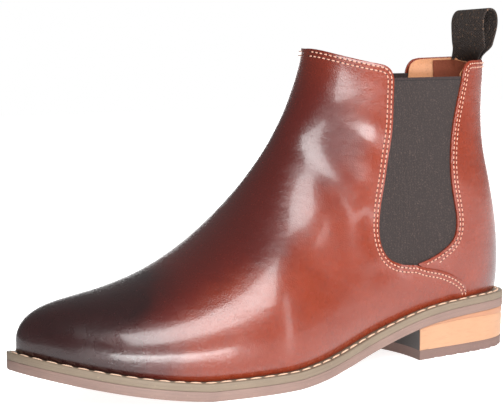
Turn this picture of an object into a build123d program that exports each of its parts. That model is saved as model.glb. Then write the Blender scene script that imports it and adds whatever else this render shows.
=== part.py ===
"""Chelsea boot, left foot, EU 43, as the separate pieces it is made of.

Millimetres, +Z up, standing on z = 0.  The toe points along -X, the outer
(lateral) side faces -Y and the inner (medial) side +Y.  Pattern lines are
written as (t, z), where t is the distance forward from the back of the heel,
so x = LENGTH / 2 - t.
"""
from build123d import *
from math import cos, hypot, pi, sin
import os
import numpy as np

# ---------------------------------------------------------------- driving dimensions
LENGTH = 308.0          # sole, heel back to toe tip
WELT_SHELF = 5.0        # welt showing outside the upper
OUTSOLE = 5.0           # outsole thickness
WELT = 4.0              # welt thickness
SEAT = OUTSOLE + WELT   # top of the welt above the sole's underside
INSOLE = (SEAT + 0.1, SEAT + 2.6)
HEEL_LENGTH = 80.0      # heel block, back to breast
BREAST_HOLLOW = 5.0     # how far the breast curves in
TOP_PIECE = 5.5
WEDGE_BACK = 4.5        # heel wedge at the back, thinning to the breast
WEDGE_BREAST = 0.5
OUTER = (0.0, 1.4)      # depth of each layer below the outer surface
MIDDLE = (1.5, 2.6)
LINING = (2.75, 3.55)
GRIP = (3.65, 4.45)
GORE_TOP = 157.0        # height of the elastic's bound top edge
GORE_MARGIN = 8.0       # elastic hidden under the leather
TAB_WIDTH = 28.0
TAB_THICK = 1.2
TAB_PIVOT = (14.0, 169.2)   # (t, z) where the webbing folds over the collar
STITCH_PITCH = 8.0
STITCH_LONG = 4.4
REACH = 90.0            # half of a cutter's width across the boot
HALF_POINTS = 8         # points on each half of a girth section
UP = (0, 0, 1)
BOTH, LATERAL_WAY, MEDIAL_WAY = 0, 1, -1

# sole outline: half widths at distances t
OUTLINE_T = (0, 1.5, 7, 18, 38, 75, 115, 155, 190, 215, 240, 262, 282, 297, 305, 308)
LATERAL = (0, 10.5, 21.5, 29, 33, 34.5, 39, 50.5, 55.5, 53.2, 48.5, 42.5, 32.5, 21, 9.8, 0)
MEDIAL = (0, 10.5, 21.5, 29, 32.5, 32.5, 30, 42, 50, 51, 47.5, 40, 29.5, 18, 8.5, 0)
SWING_T = (0, 190, 230, 265, 290, 308)      # centre line leaning to the big toe
SWING = (0, 0, 0.8, 3, 5.4, 7.4)
# underside of the sole: heel seat, arch, flat ball and toe spring
UNDER_T = (-6, 40, 75, 100, 125, 150, 175, 225, 250, 275, 314)
UNDER_Z = (23, 22.3, 18.8, 13.4, 7.7, 2.7, 0, 0, 3.4, 8.6, 19.2)

# Girth sections of the upper, from the toe tip round to the collar.  Each lies in
# a plane through a front point and a back point and is given as
# (front t, z, back t, z, half width, split, fullness in front, fullness behind).
# Half width None means: wide enough to meet the welt.
GIRTHS = (
    (303.1, 31.5, 303.1, 27, 1.2, .55, 2.0, 2.0),
    (302.5, 35, 302.3, 23, 4, .57, 2.0, 2.0),
    (300.0, 40, 299.5, 19, None, .60, 2.0, 2.2),
    (293.0, 45.5, 292, 15, None, .62, 2.0, 2.4),
    (280.0, 50, 279, 10, None, .64, 1.9, 2.6),
    (262.0, 53.5, 260, 5, None, .66, 1.85, 2.8),
    (240.0, 59, 235, 1, None, .68, 1.85, 3.0),
    (215.0, 69.5, 205, -2, None, .70, 1.85, 3.0),
    (190.0, 86.5, 170, -2, None, .72, 1.9, 3.0),
    (170.0, 105.5, 130, 1, None, .70, 2.0, 2.8),
    (158.5, 118.5, 100, 6, None, .66, 2.1, 2.6),
    (152.0, 127, 62, 8, None, .62, 2.1, 2.5),
    (147.5, 134, 30, 10, None, .58, 2.1, 2.5),
    (144.0, 139.5, 8, 22, 34, .55, 2.1, 2.5),
    (141.0, 145, 1.5, 46, 34, .52, 2.1, 2.4),
    (138.0, 151, 1, 66, 34.5, .50, 2.1, 2.2),
    (135.0, 158, 4, 89, 33.5, .50, 2.1, 2.1),
    (132.5, 165.5, 9, 113, 31.5, .50, 2.1, 2.1),
    (130.5, 175, 10, 138, 30, .50, 2.1, 2.1),
    (129.5, 186, 8, 163, 29.5, .50, 2.1, 2.1),
    (129.5, 196, 6.5, 186, 29.5, .50, 2.1, 2.1),
)

# pattern lines of the upper, side view (t, z)
SEAM = ((40.5, 22), (40.8, 32), (43.5, 38), (49, 42.5), (56, 46), (64, 48.8), (73, 50.8), (81, 53.5))
GORE_FRONT = ((81, 53.5), (93, 55.3), (101.5, 60), (105.5, 68), (105.3, 80), (102.3, 96),
              (98.8, 114), (95.2, 136), (92.5, 153))
GORE_BACK = ((81, 53.5), (71, 56), (60.5, 60.8), (53.5, 67), (51.4, 75), (53.3, 87), (56, 101),
             (55.6, 113), (52, 127), (46.5, 141), (41, 155))
VAMP_TOP = ((92.5, 153), (92.6, 159), (95.5, 163), (101, 164.8), (111, 167), (124, 171), (133, 174.8))
QUARTER_TOP = ((41, 155), (39, 161.5), (35.5, 165), (30, 165.9), (15, 166.3), (-15, 166.8))


# ---------------------------------------------------------------- shape formulas
def smooth(xs, ys, q):
    """Natural cubic spline through (xs, ys), read at q."""
    xs, ys, q = (np.asarray(v, float) for v in (xs, ys, q))
    n = len(xs)
    h = np.diff(xs)
    a = np.eye(n)
    r = np.zeros(n)
    for i in range(1, n - 1):
        a[i, i - 1:i + 2] = h[i - 1], 2 * (h[i - 1] + h[i]), h[i]
        r[i] = 6 * ((ys[i + 1] - ys[i]) / h[i] - (ys[i] - ys[i - 1]) / h[i - 1])
    m = np.linalg.solve(a, r)
    k = np.clip(np.searchsorted(xs, q) - 1, 0, n - 2)
    u, v, w = xs[k + 1] - q, q - xs[k], h[k]
    bend = (m[k] * u**3 + m[k + 1] * v**3) / (6 * w)
    return bend + (ys[k] / w - m[k] * w / 6) * u + (ys[k + 1] / w - m[k + 1] * w / 6) * v


LEVEL_T = np.unique(np.concatenate([np.arange(-6.0, 315.0, 10.0), (0, HEEL_LENGTH, 82, 98)]))
LEVEL_Z = np.maximum(0, smooth(UNDER_T, UNDER_Z, LEVEL_T))


def under(t):
    """Height of the sole's underside."""
    return float(np.interp(t, LEVEL_T, LEVEL_Z))


def moved(points, d):
    """An open line of (a, b) points moved d to its right-hand side."""
    p = np.array(points, float)
    run = np.gradient(p, axis=0)
    run /= np.hypot(run[:, 0], run[:, 1])[:, None]
    return p + d * np.stack([run[:, 1], -run[:, 0]], 1)


def sole_side(widths, sign, n=36):
    """One side of the sole outline from heel to toe as (t, y)."""
    t = np.array(OUTLINE_T, float)
    y = sign * np.array(widths, float) + np.interp(t, SWING_T, SWING)
    run = np.concatenate([[0], np.cumsum(np.hypot(np.diff(t), np.diff(y)))])
    q = np.linspace(0, run[-1], n)
    return np.stack([smooth(run, t, q), smooth(run, y, q)], 1)


LATERAL_SIDE = sole_side(LATERAL, -1)
MEDIAL_SIDE = sole_side(MEDIAL, 1)
MID_Y = (LATERAL_SIDE[:, 1].min() + MEDIAL_SIDE[:, 1].max()) / 2


def outline(inset):
    """Closed sole outline (t, y), moved inwards by inset."""
    loop = np.concatenate([LATERAL_SIDE, MEDIAL_SIDE[::-1][1:-1]])
    ahead = np.roll(loop, -1, 0) - np.roll(loop, 1, 0)
    ahead /= np.hypot(ahead[:, 0], ahead[:, 1])[:, None]
    return loop + inset * np.stack([-ahead[:, 1], ahead[:, 0]], 1)


FEATHER = outline(WELT_SHELF)
N_SIDE = len(LATERAL_SIDE)


def feather_width(t, sign):
    """Half width of the upper's foot line at t, on one side."""
    side = FEATHER[:N_SIDE] if sign < 0 else FEATHER[N_SIDE - 1:][::-1]
    order = np.argsort(side[:, 0])
    return abs(float(np.interp(t, side[order, 0], side[order, 1])) - float(np.interp(t, SWING_T, SWING)))


def girth_width(ft, fz, bt, bz, split, fuller, sign):
    """Half width that brings a girth section down onto the foot line."""
    u = max(np.linspace(0, 1, 400), key=lambda s: -abs(
        fz + (bz - fz) * s - under(ft + (bt - ft) * s) - SEAT))
    g = (1 - max(0, (u - split) / (1 - split))**fuller)**(1 / fuller)
    return feather_width(ft + (bt - ft) * u, sign) / g


def girths(depth):
    """The sections at a depth below the outer surface: front, back, half widths, shape."""
    front = moved([g[0:2] for g in GIRTHS], -depth)
    back = moved([g[2:4] for g in GIRTHS], depth)
    rows = []
    for f, b, g in zip(front, back, GIRTHS):
        if g[4] is None:
            wide = [girth_width(*g[:4], g[5], g[7], s) for s in (-1, 1)]
        else:
            wide = [g[4], g[4]]
        lateral, medial = (max(w - depth, .35 * w) for w in wide)
        rows.append((f, b, lateral, medial, g[5], g[6], g[7]))
    return rows


def girth_points(row, n=2 * HALF_POINTS):
    """Closed loop of points on one section, starting at its front."""
    f, b, lateral, medial, split, pf, pb = row
    loop = []
    for k in range(n):
        a = 2 * pi * k / n
        c, s = cos(a), sin(a)
        p = pf if c > 0 else pb
        along = abs(c)**(2 / p)
        u = split * (1 - along) if c > 0 else split + (1 - split) * along
        out = abs(s)**(2 / p) * (lateral if s > 0 else medial)
        t, z = f + (b - f) * u
        y = float(np.interp(t, SWING_T, SWING)) - MID_Y + (-out if s > 0 else out)
        loop.append((LENGTH / 2 - t, y, z))
    return loop


def place(points):
    """Side-view (t, z) points as sketch points on Plane.XZ."""
    return [(LENGTH / 2 - t, z) for t, z in points]


# ---------------------------------------------------------------- builder helpers
def upper_body(depth):
    """Solid inside the upper's surface at a depth, from below the sole to above the collar."""
    with BuildPart() as body:
        for row in girths(depth):
            loop = [Vector(*p) for p in girth_points(row)]
            down = loop[HALF_POINTS] - loop[0]
            plane = Plane(origin=loop[0], x_dir=(0, 1, 0), z_dir=down.cross(Vector(0, 1, 0)))
            flat = [plane.to_local_coords(p) for p in loop + loop[:1]]
            with BuildSketch(plane):
                with BuildLine():
                    Polyline(*flat[:-1], close=True)
                make_face()
        loft(ruled=True)
    return body.part


def plan_face(inset):
    """Sole outline, moved inwards by inset, as a sketch on the ground."""
    with BuildSketch(Plane.XY) as sketch:
        with BuildLine():
            Polyline(*[(LENGTH / 2 - t, y - MID_Y) for t, y in outline(inset)], close=True)
        make_face()
    return sketch.sketch


def level_band(low, high, t0=-6.0, t1=314.0):
    """Side-view strip between two heights above the curved underside."""
    ts = [t0, *(t for t in LEVEL_T if t0 < t < t1), t1]
    lower = place([(t, under(t) + (low(t) if callable(low) else low)) for t in ts])
    upper = place([(t, under(t) + (high(t) if callable(high) else high)) for t in ts])
    with BuildSketch(Plane.XZ) as sketch:
        with BuildLine():
            Polyline(*lower, *upper[::-1], close=True)
        make_face()
    return sketch.sketch


def side_region(*runs):
    """Closed side-view region round the points of several runs."""
    points = []
    for point in (p for run in runs for p in place(run)):
        if not points or hypot(point[0] - points[-1][0], point[1] - points[-1][1]) > 0.05:
            points.append(point)
    with BuildSketch(Plane.XZ) as sketch:
        with BuildLine():
            Polyline(*points, close=True)
        make_face()
    return sketch.sketch


def heel_plan():
    """Plan region of the heel, bounded in front by the hollow breast."""
    front = LENGTH / 2 - HEEL_LENGTH
    with BuildSketch(Plane.XY) as sketch:
        with BuildLine():
            ThreePointArc((front, -REACH / 2), (front + BREAST_HOLLOW, 0), (front, REACH / 2))
            Polyline((front, REACH / 2), (LENGTH, REACH / 2), (LENGTH, -REACH / 2), (front, -REACH / 2))
        make_face()
    return sketch.sketch


VAMP_SIDE = (SEAM, GORE_FRONT, VAMP_TOP, ((150, 181), (330, 181)), ((330, -20), (40.5, -20)))
QUARTER_SIDE = (SEAM, GORE_BACK, QUARTER_TOP, ((-15, -20), (40.5, -20)))
gore_edge_front = [tuple(p) for p in moved(GORE_FRONT[1:], GORE_MARGIN)]
gore_edge_back = [tuple(p) for p in moved(GORE_BACK[1:], -GORE_MARGIN)]
GORE_SIDE = (((81, 45.5), gore_edge_front[0]), gore_edge_front,
             ((gore_edge_front[-1][0] - 1, GORE_TOP), (gore_edge_back[-1][0], GORE_TOP)),
             gore_edge_back[::-1])

skins = {d: upper_body(d) for d in (*OUTER, *MIDDLE, *LINING, *GRIP)}


def layer(depths, side, low=None, way=BOTH):
    """Shell between two depths, inside a side-view region and above a level.

    way is BOTH, or LATERAL_WAY or MEDIAL_WAY for one side of the boot only.
    """
    with BuildPart() as shell:
        extrude(side_region(*side), amount=REACH * (way or 1), both=way is BOTH)
        if low is not None:
            extrude(level_band(low, 250), amount=REACH, both=True, mode=Mode.INTERSECT)
        add(skins[depths[0]], mode=Mode.INTERSECT, clean=False)
        add(skins[depths[1]], mode=Mode.SUBTRACT, clean=False)
    return shell.part


def save(builder, name):
    builder.part.label = name
    export_step(builder.part, f"parts/{name}.step")


os.makedirs("parts", exist_ok=True)

# ---------------------------------------------------------------- leather upper
with BuildPart() as vamp:
    add(layer(OUTER, VAMP_SIDE, SEAT))
save(vamp, "vamp")

with BuildPart() as back_quarter:
    add(layer(OUTER, QUARTER_SIDE, SEAT))
save(back_quarter, "back_quarter")

# ---------------------------------------------------------------- elastic gores
for name, way in (("gore_lateral", LATERAL_WAY), ("gore_medial", MEDIAL_WAY)):
    with BuildPart() as gore:
        add(layer(MIDDLE, GORE_SIDE, way=way))
    save(gore, name)

# ---------------------------------------------------------------- stiffeners and backing
LOW = INSOLE[0]
BACKER_REAR = tuple(tuple(p) for p in moved(GORE_FRONT[3:], GORE_MARGIN + 1))
BACKER_SIDE = (((116, -20), (116, 52)), BACKER_REAR,
               ((VAMP_TOP[4][0] - 8, 163), (111, 165), (124, 169), (133, 172.8), (150, 179)),
               ((252, 179), (252, -20)))
with BuildPart() as vamp_backer:
    add(layer(MIDDLE, BACKER_SIDE, LOW))
save(vamp_backer, "vamp_backer")

PUFF_SIDE = (((253, -20), (253, 100)), ((330, 100), (330, -20)))
with BuildPart() as toe_puff:
    add(layer(MIDDLE, PUFF_SIDE, LOW))
save(toe_puff, "toe_puff")

COUNTER_SIDE = (((-15, -20), (-15, 80)), ((8, 80), (24, 75), (36, 62), (44, 47), (58, 38), (76, 34)), ((76, -20),))
with BuildPart() as heel_counter:
    add(layer(MIDDLE, COUNTER_SIDE, LOW))
save(heel_counter, "heel_counter")

# ---------------------------------------------------------------- linings
LINE_FRONT = tuple(tuple(p) for p in moved(GORE_FRONT[3:], 3))
VAMP_LINING_SIDE = (((84, -20), (84, 44)), ((97, 46), LINE_FRONT[0]), LINE_FRONT,
                    ((99, 163), (111, 166), (124, 170), (133, 173.8), (150, 180)),
                    ((330, 180), (330, -20)))
with BuildPart() as vamp_lining:
    add(layer(LINING, VAMP_LINING_SIDE, LOW))
save(vamp_lining, "vamp_lining")

LINE_BACK = tuple(tuple(p) for p in moved(GORE_BACK[2:], -3))
LINING_TOP = ((37, 160), (33, 164), (28, 164.9), (15, 165.3), (-15, 165.8))
QUARTER_LINING_SIDE = (((83.5, -20), (83.5, 44)), ((70, 48), LINE_BACK[0]), LINE_BACK, LINING_TOP, ((-15, -20),))
for name, way in (("quarter_lining_lateral", LATERAL_WAY), ("quarter_lining_medial", MEDIAL_WAY)):
    with BuildPart() as lining:
        add(layer(LINING, QUARTER_LINING_SIDE, LOW, way))
    save(lining, name)

GRIP_SIDE = (((-15, 50), (20, 46), (30, 52)), ((30, 52), (31, 80), (26, 120), (24, 163)), ((-15, 163.6),))
with BuildPart() as heel_grip:
    add(layer(GRIP, GRIP_SIDE))
save(heel_grip, "heel_grip")


# ---------------------------------------------------------------- bottom: insole, filler, shank
def slab(name, inset, low, high, t0=-6.0, t1=314.0):
    """A sheet inside the linings, following the curved underside."""
    with BuildPart() as sheet:
        extrude(plan_face(inset), amount=60, dir=UP)
        extrude(level_band(low, high, t0, t1), amount=REACH, both=True, mode=Mode.INTERSECT)
        add(skins[GRIP[0]], mode=Mode.INTERSECT, clean=False)
    save(sheet, name)


PAD = 2.0
SOCK = 1.2


def sock_rise(t):
    """The sock liner steps down from the heel pad to the insole."""
    return PAD * min(1, max(0, (98 - t) / 16))


slab("insole_board", 9.8, INSOLE[0], INSOLE[1])
slab("heel_pad", 10.4, INSOLE[1] + 0.05, INSOLE[1] + PAD, 4, 80)
slab("sock_liner", 10.4, lambda t: INSOLE[1] + 0.1 + sock_rise(t), lambda t: INSOLE[1] + 0.1 + SOCK + sock_rise(t))

WELT_WIDTH = 12.0
GROOVE = (2.0, 3.8)         # stitch groove, measured in from the welt's edge
GROOVE_DEEP = 0.7
with BuildPart() as welt:
    extrude(plan_face(0), amount=60, dir=UP)
    extrude(plan_face(WELT_WIDTH), amount=60, dir=UP, mode=Mode.SUBTRACT)
    extrude(level_band(OUTSOLE, SEAT), amount=REACH, both=True, mode=Mode.INTERSECT)
    with BuildPart(mode=Mode.PRIVATE) as groove:
        extrude(plan_face(GROOVE[0]), amount=60, dir=UP)
        extrude(plan_face(GROOVE[1]), amount=60, dir=UP, mode=Mode.SUBTRACT)
        extrude(level_band(SEAT - GROOVE_DEEP, SEAT + 2), amount=REACH, both=True, mode=Mode.INTERSECT)
    add(groove.part, mode=Mode.SUBTRACT)
save(welt, "welt")

SHANK_T = (58.0, 168.0)
SHANK_WIDTH = 13.0
SHANK_LEVEL = (OUTSOLE + 1.4, OUTSOLE + 2.6)
with BuildPart() as shank:
    extrude(level_band(*SHANK_LEVEL, *SHANK_T), amount=SHANK_WIDTH / 2, both=True)
save(shank, "shank")

with BuildPart() as bottom_filler:
    extrude(plan_face(WELT_WIDTH + 0.3), amount=60, dir=UP)
    extrude(level_band(OUTSOLE, SEAT - 0.1), amount=REACH, both=True, mode=Mode.INTERSECT)
    slot = level_band(SHANK_LEVEL[0] - 0.05, SHANK_LEVEL[1] + 0.05, SHANK_T[0] - 0.5, SHANK_T[1] + 0.5)
    extrude(slot, amount=SHANK_WIDTH / 2 + 0.1, both=True, mode=Mode.SUBTRACT)
save(bottom_filler, "bottom_filler")

# ---------------------------------------------------------------- outsole and heel
TREAD_T = range(160, 284, 7)
with BuildPart() as outsole:
    extrude(plan_face(0), amount=60, dir=UP)
    extrude(level_band(0, OUTSOLE), amount=REACH, both=True, mode=Mode.INTERSECT)
    with Locations(*[(LENGTH / 2 - t, 0, under(t)) for t in TREAD_T]):
        Box(1.8, 64, 1.6, mode=Mode.SUBTRACT)
save(outsole, "outsole")


def heel_drop(t):
    """Thickness of the wedge: thick at the back, almost nothing at the breast."""
    return -(WEDGE_BREAST + (WEDGE_BACK - WEDGE_BREAST) * (1 - min(1, max(0, t / HEEL_LENGTH))))


def heel_layer(inset_low, inset_high, low, high):
    """Heel piece: tapered outline, hollow breast, between two levels or heights."""
    with BuildPart() as piece:
        with BuildSketch(Plane.XY):
            add(plan_face(inset_low))
        with BuildSketch(Plane.XY.offset(26)):
            add(plan_face(inset_high))
        loft(ruled=True)
        extrude(heel_plan(), amount=60, dir=UP, mode=Mode.INTERSECT)
        extrude(level_band(low, high, -6, 95), amount=REACH, both=True, mode=Mode.INTERSECT)
    return piece.part


NAIL_R = 1.1
NAILS = [(16, 0), (30, -17), (30, 17), (58, -20), (58, 20)]
nail_spots = [(LENGTH / 2 - t, y, 1.0) for t, y in NAILS]


with BuildPart() as heel_wedge:
    add(heel_layer(1.4, 0.3, heel_drop, 0))
save(heel_wedge, "heel_wedge")

with BuildPart() as heel_block:
    add(heel_layer(1.4, 0.3, lambda t: TOP_PIECE - under(t), heel_drop))
    with Locations(*nail_spots):
        Cylinder(NAIL_R + 0.05, 17.05, align=(Align.CENTER, Align.CENTER, Align.MIN), mode=Mode.SUBTRACT)
save(heel_block, "heel_block")

NOTCH_T = range(6, 76, 6)
with BuildPart() as top_piece:
    add(heel_layer(1.4, 0.3, lambda t: -under(t), lambda t: TOP_PIECE - under(t)))
    with Locations(*[(LENGTH / 2 - t, y, 0) for t in NOTCH_T for y in (-REACH / 2 + 16, REACH / 2 - 16)]):
        Box(2.0, 16, 2.0, mode=Mode.SUBTRACT)
    with Locations(*nail_spots):
        Cylinder(NAIL_R + 0.05, 17.05, align=(Align.CENTER, Align.CENTER, Align.MIN), mode=Mode.SUBTRACT)
    with Locations(*[(x, y, 0) for x, y, z in nail_spots]):
        Cylinder(2.2, 1.0, align=(Align.CENTER, Align.CENTER, Align.MIN), mode=Mode.SUBTRACT)
save(top_piece, "top_piece")

with BuildPart() as heel_nails:
    with Locations(*nail_spots):
        Cylinder(NAIL_R, 17, align=(Align.CENTER, Align.CENTER, Align.MIN))
save(heel_nails, "heel_nails")

# ---------------------------------------------------------------- welt stitching
seam_line = outline(sum(GROOVE) / 2)
seam_line = np.concatenate([seam_line, seam_line[:1]])
run = np.concatenate([[0], np.cumsum(np.hypot(*np.diff(seam_line, axis=0).T))])
count = round(run[-1] / STITCH_PITCH)
spots = []
for k in range(count):
    ends = []
    for step in (-0.25, 0.25):
        at = (k + 0.5 + step) * run[-1] / count
        t, y = np.interp(at, run, seam_line[:, 0]), np.interp(at, run, seam_line[:, 1])
        ends.append(Vector(LENGTH / 2 - t, y - MID_Y, under(t) + SEAT + 0.4))
    spots.append(Plane(origin=(ends[0] + ends[1]) / 2, x_dir=ends[1] - ends[0], z_dir=UP))
with BuildPart() as welt_stitching:
    with Locations(*[spot.location for spot in spots]):
        Box(STITCH_LONG, 0.56, 0.6)
save(welt_stitching, "welt_stitching")

# ---------------------------------------------------------------- pull tab
with BuildPart() as pull_tab_anchor:
    add(layer(MIDDLE, (((-15, 146), (28, 146)), ((28, 165.2), (-15, 165.8)))))
    with BuildPart(mode=Mode.PRIVATE) as strip:
        with Locations((LENGTH / 2, 0, 156)):
            Box(80, TAB_WIDTH - 1, 60)
    add(strip.part, mode=Mode.INTERSECT)
save(pull_tab_anchor, "pull_tab_anchor")

pivot_x, pivot_z = LENGTH / 2 - TAB_PIVOT[0], TAB_PIVOT[1]
LOOP = ((0, 0), (-0.4, 4.6), (-0.7, 10), (-0.9, 16), (-0.2, 22.5), (3.6, 26.6), (8.2, 25.4),
        (9.9, 20.5), (7.6, 12.5), (3.2, 4.6), (1.6, 0))
loop = [(pivot_x - 0.8 + a, pivot_z + b) for a, b in LOOP]
outer = [tuple(p) for p in moved(loop, -TAB_THICK / 2)]
inner = [tuple(p) for p in moved(loop[1:-1], TAB_THICK / 2)]
with BuildPart() as pull_tab:
    with BuildSketch(Plane.XZ):
        with BuildLine():
            Spline(*outer)
            Line(outer[-1], outer[0])
        make_face()
        with BuildLine():
            Spline(*inner)
            Line(inner[-1], inner[0])
        make_face(mode=Mode.SUBTRACT)
    extrude(amount=TAB_WIDTH / 2, both=True)
save(pull_tab, "pull_tab")
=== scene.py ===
"""Chelsea boot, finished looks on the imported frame.  Metres, +Z up, toe along -X."""
import bpy
import numpy as np
from math import pi, radians
from mathutils import Matrix, Vector


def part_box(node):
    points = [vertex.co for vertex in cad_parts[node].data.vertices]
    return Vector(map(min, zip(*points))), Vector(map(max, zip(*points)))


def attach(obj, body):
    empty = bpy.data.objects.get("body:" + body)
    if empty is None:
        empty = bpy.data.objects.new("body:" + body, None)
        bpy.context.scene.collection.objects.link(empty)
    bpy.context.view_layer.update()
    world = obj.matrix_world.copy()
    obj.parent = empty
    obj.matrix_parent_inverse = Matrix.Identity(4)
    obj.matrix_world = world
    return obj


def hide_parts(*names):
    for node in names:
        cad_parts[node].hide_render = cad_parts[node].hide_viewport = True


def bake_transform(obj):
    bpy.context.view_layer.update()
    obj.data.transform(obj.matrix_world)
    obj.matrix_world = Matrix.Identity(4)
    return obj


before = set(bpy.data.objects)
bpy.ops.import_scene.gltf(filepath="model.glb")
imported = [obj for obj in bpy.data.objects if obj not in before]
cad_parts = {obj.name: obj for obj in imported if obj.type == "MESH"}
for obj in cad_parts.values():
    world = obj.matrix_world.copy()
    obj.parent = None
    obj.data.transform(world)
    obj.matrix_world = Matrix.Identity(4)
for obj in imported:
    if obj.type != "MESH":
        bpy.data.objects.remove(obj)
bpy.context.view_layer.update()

# ---------------------------------------------------------------- shape of the boot, in millimetres
# t runs from the heel's back to the toe, z is the height, y the width
MM = 0.001
sole_low, sole_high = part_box("outsole")
LENGTH = (sole_high.x - sole_low.x) / MM
SEAT = 9.0             # top of the welt above the sole's underside
OUTSOLE = 5.0          # rubber under the welt
HEEL, HOLLOW = 80.0, 5.0   # length of the heel, depth of the curve in its breast
TOP = 5.5              # rubber top piece
FEATHER_INSET = 5.0    # foot of the upper inside the sole's outline
INNER_RISE = 2.6       # inner side's top lines above the outer side's
LEATHER_BACK = 1.4     # inner face of the leather below the outer surface
GORE_FACE, GORE_REAR = 1.45, 2.7
LINING_FACE, LINING_THICK = 1.45, 0.85
STIFFENER = 1.3        # room between leather and lining below the collar
QUARTER_FACE = 0.05
SEAM_ROWS = (1.7, 4.0)     # stitch rows from the leather's edge
SEAM_PITCH, WELT_PITCH = 2.7, 8.0
WELT_THREAD_INSET, WELT_THREAD_DIP = 2.9, 0.55
OUTLINE_T = (0, 1.5, 7, 18, 38, 75, 115, 155, 190, 215, 240, 262, 282, 297, 305, 308)
LATERAL = (0, 10.5, 21.5, 29, 33, 34.5, 39, 50.5, 55.5, 53.2, 48.5, 42.5, 32.5, 21, 9.8, 0)
MEDIAL = (0, 10.5, 21.5, 29, 32.5, 32.5, 30, 42, 50, 51, 47.5, 40, 29.5, 18, 8.5, 0)
SWING_T = (0, 190, 230, 265, 290, 308)
SWING = (0, 0, 0.8, 3, 5.4, 7.4)
UNDER_T = (-6, 40, 75, 100, 125, 150, 175, 225, 250, 275, 314)
UNDER_Z = (23, 22.3, 18.8, 13.4, 7.7, 2.7, 0, 0, 3.4, 8.6, 19.2)
# front t, z, back t, z, half width (0: meets the welt), widest share, fullness in front, behind
GIRTHS = (
    (303.3, 29.4, 303.3, 29.0, .1, .55, 2.0, 2.0), (303.1, 31.5, 303.1, 27, 1.2, .55, 2.0, 2.0),
    (302.5, 35, 302.3, 23, 4, .57, 2.0, 2.0), (300, 40, 299.5, 19, 0, .60, 2.0, 2.2),
    (293, 45.5, 292, 15, 0, .62, 2.0, 2.4), (280, 50, 279, 10, 0, .64, 1.95, 2.6),
    (262, 53.5, 260, 5, 0, .66, 1.92, 2.8), (240, 59, 235, 1, 0, .68, 1.92, 3.0),
    (215, 69.5, 205, -2, 0, .70, 1.92, 3.0), (190, 86.5, 170, -2, 0, .72, 1.95, 3.0),
    (170, 105.5, 130, 1, 0, .70, 2.0, 2.8), (158.5, 118.5, 100, 6, 0, .66, 2.1, 2.6),
    (152, 127, 62, 8, 0, .62, 2.1, 2.5), (147.5, 134, 30, 10, 0, .58, 2.1, 2.5),
    (144, 139.5, 8, 22, 34, .55, 2.1, 2.5), (141, 145, 1.5, 46, 34, .52, 2.1, 2.4),
    (138, 151, 1, 66, 34.5, .50, 2.1, 2.2), (135, 158, 4, 89, 33.5, .50, 2.1, 2.1),
    (132.5, 165.5, 9, 113, 31.5, .50, 2.1, 2.1), (130.5, 175, 10, 138, 30, .50, 2.1, 2.1),
    (129.5, 186, 8, 163, 29.5, .50, 2.1, 2.1), (129.5, 196, 6.5, 186, 29.5, .50, 2.1, 2.1),
)
# pattern lines in the side view, (t, z)
SEAM = ((40.5, 22), (40.8, 32), (43.5, 38), (49, 42.5), (56, 46), (64, 48.8), (73, 50.8),
        (81, 53.5))
GORE_FRONT = ((81, 53.5), (93, 55.3), (101.5, 60), (105.5, 68), (105.3, 80), (102.3, 96),
              (98.8, 114), (95.2, 136), (92.5, 153))
GORE_BACK = ((81, 53.5), (71, 56), (60.5, 60.8), (53.5, 67), (51.4, 75), (53.3, 87), (56, 101),
             (55.6, 113), (52, 127), (46.5, 141), (41, 155))
VAMP_TOP = ((92.5, 153), (92.6, 159), (95.5, 163), (101, 164.8), (111, 167), (124, 171),
            (133, 174.8))
QUARTER_TOP = ((41, 155), (39, 161.5), (35.5, 165), (30, 165.9), (15, 166.3), (-15, 166.8))
VAMP_LINING_TOP = ((97, 162), (103, 164), (111, 166), (124, 170), (133, 173.8), (150, 180))
QUARTER_LINING_TOP = ((39.2, 158), (37.6, 161.4), (34.5, 164.1), (29, 165.1), (15, 165.6),
                      (-15, 166.1))
GRIP_FRONT = ((30, 52), (31, 80), (26, 120), (24, 164.2))
GORE_TOP = 157.0
FAR_T, FAR_Z, LOW_Z, BACK_T = 330, 181, -20, -15   # beyond the boot on every side
CREASE = ((112, 126), (112.5, 100), (118, 84), (121, 73), (118, 60), (112, 50))


def smooth(xs, ys, q):
    """Natural cubic spline through (xs, ys), read at q."""
    xs, ys, q = (np.asarray(v, float) for v in (xs, ys, q))
    n = len(xs)
    h = np.diff(xs)
    a, r = np.eye(n), np.zeros(n)
    for i in range(1, n - 1):
        a[i, i - 1:i + 2] = h[i - 1], 2 * (h[i - 1] + h[i]), h[i]
        r[i] = 6 * ((ys[i + 1] - ys[i]) / h[i] - (ys[i] - ys[i - 1]) / h[i - 1])
    m = np.linalg.solve(a, r)
    k = np.clip(np.searchsorted(xs, q) - 1, 0, n - 2)
    u, v, w = xs[k + 1] - q, q - xs[k], h[k]
    bend = (m[k] * u**3 + m[k + 1] * v**3) / (6 * w)
    return bend + (ys[k] / w - m[k] * w / 6) * u + (ys[k + 1] / w - m[k + 1] * w / 6) * v


def under(t):
    """Height of the sole's underside."""
    return np.maximum(0, smooth(UNDER_T, UNDER_Z, np.clip(t, -6, 314)))


def above(t, z):
    """Height above the sole's underside."""
    return z - under(t)


def steps(points):
    """Distance run at each point of a line, from 0 at its start."""
    points = np.asarray(points, float)
    return np.concatenate([[0], np.cumsum(np.linalg.norm(np.diff(points, axis=0), axis=1))])


def step(low, high, x):
    """Smooth rise from 0 at low to 1 at high."""
    u = np.clip((x - low) / (high - low), 0, 1)
    return u * u * (3 - 2 * u)


def curve(points, gap=1.6):
    """Smooth line through points, with a point every gap."""
    p = np.array(points, float)
    run = steps(p)
    q = np.linspace(0, run[-1], max(3, int(run[-1] / gap)))
    return np.stack([smooth(run, p[:, 0], q), smooth(run, p[:, 1], q)], 1)


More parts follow.
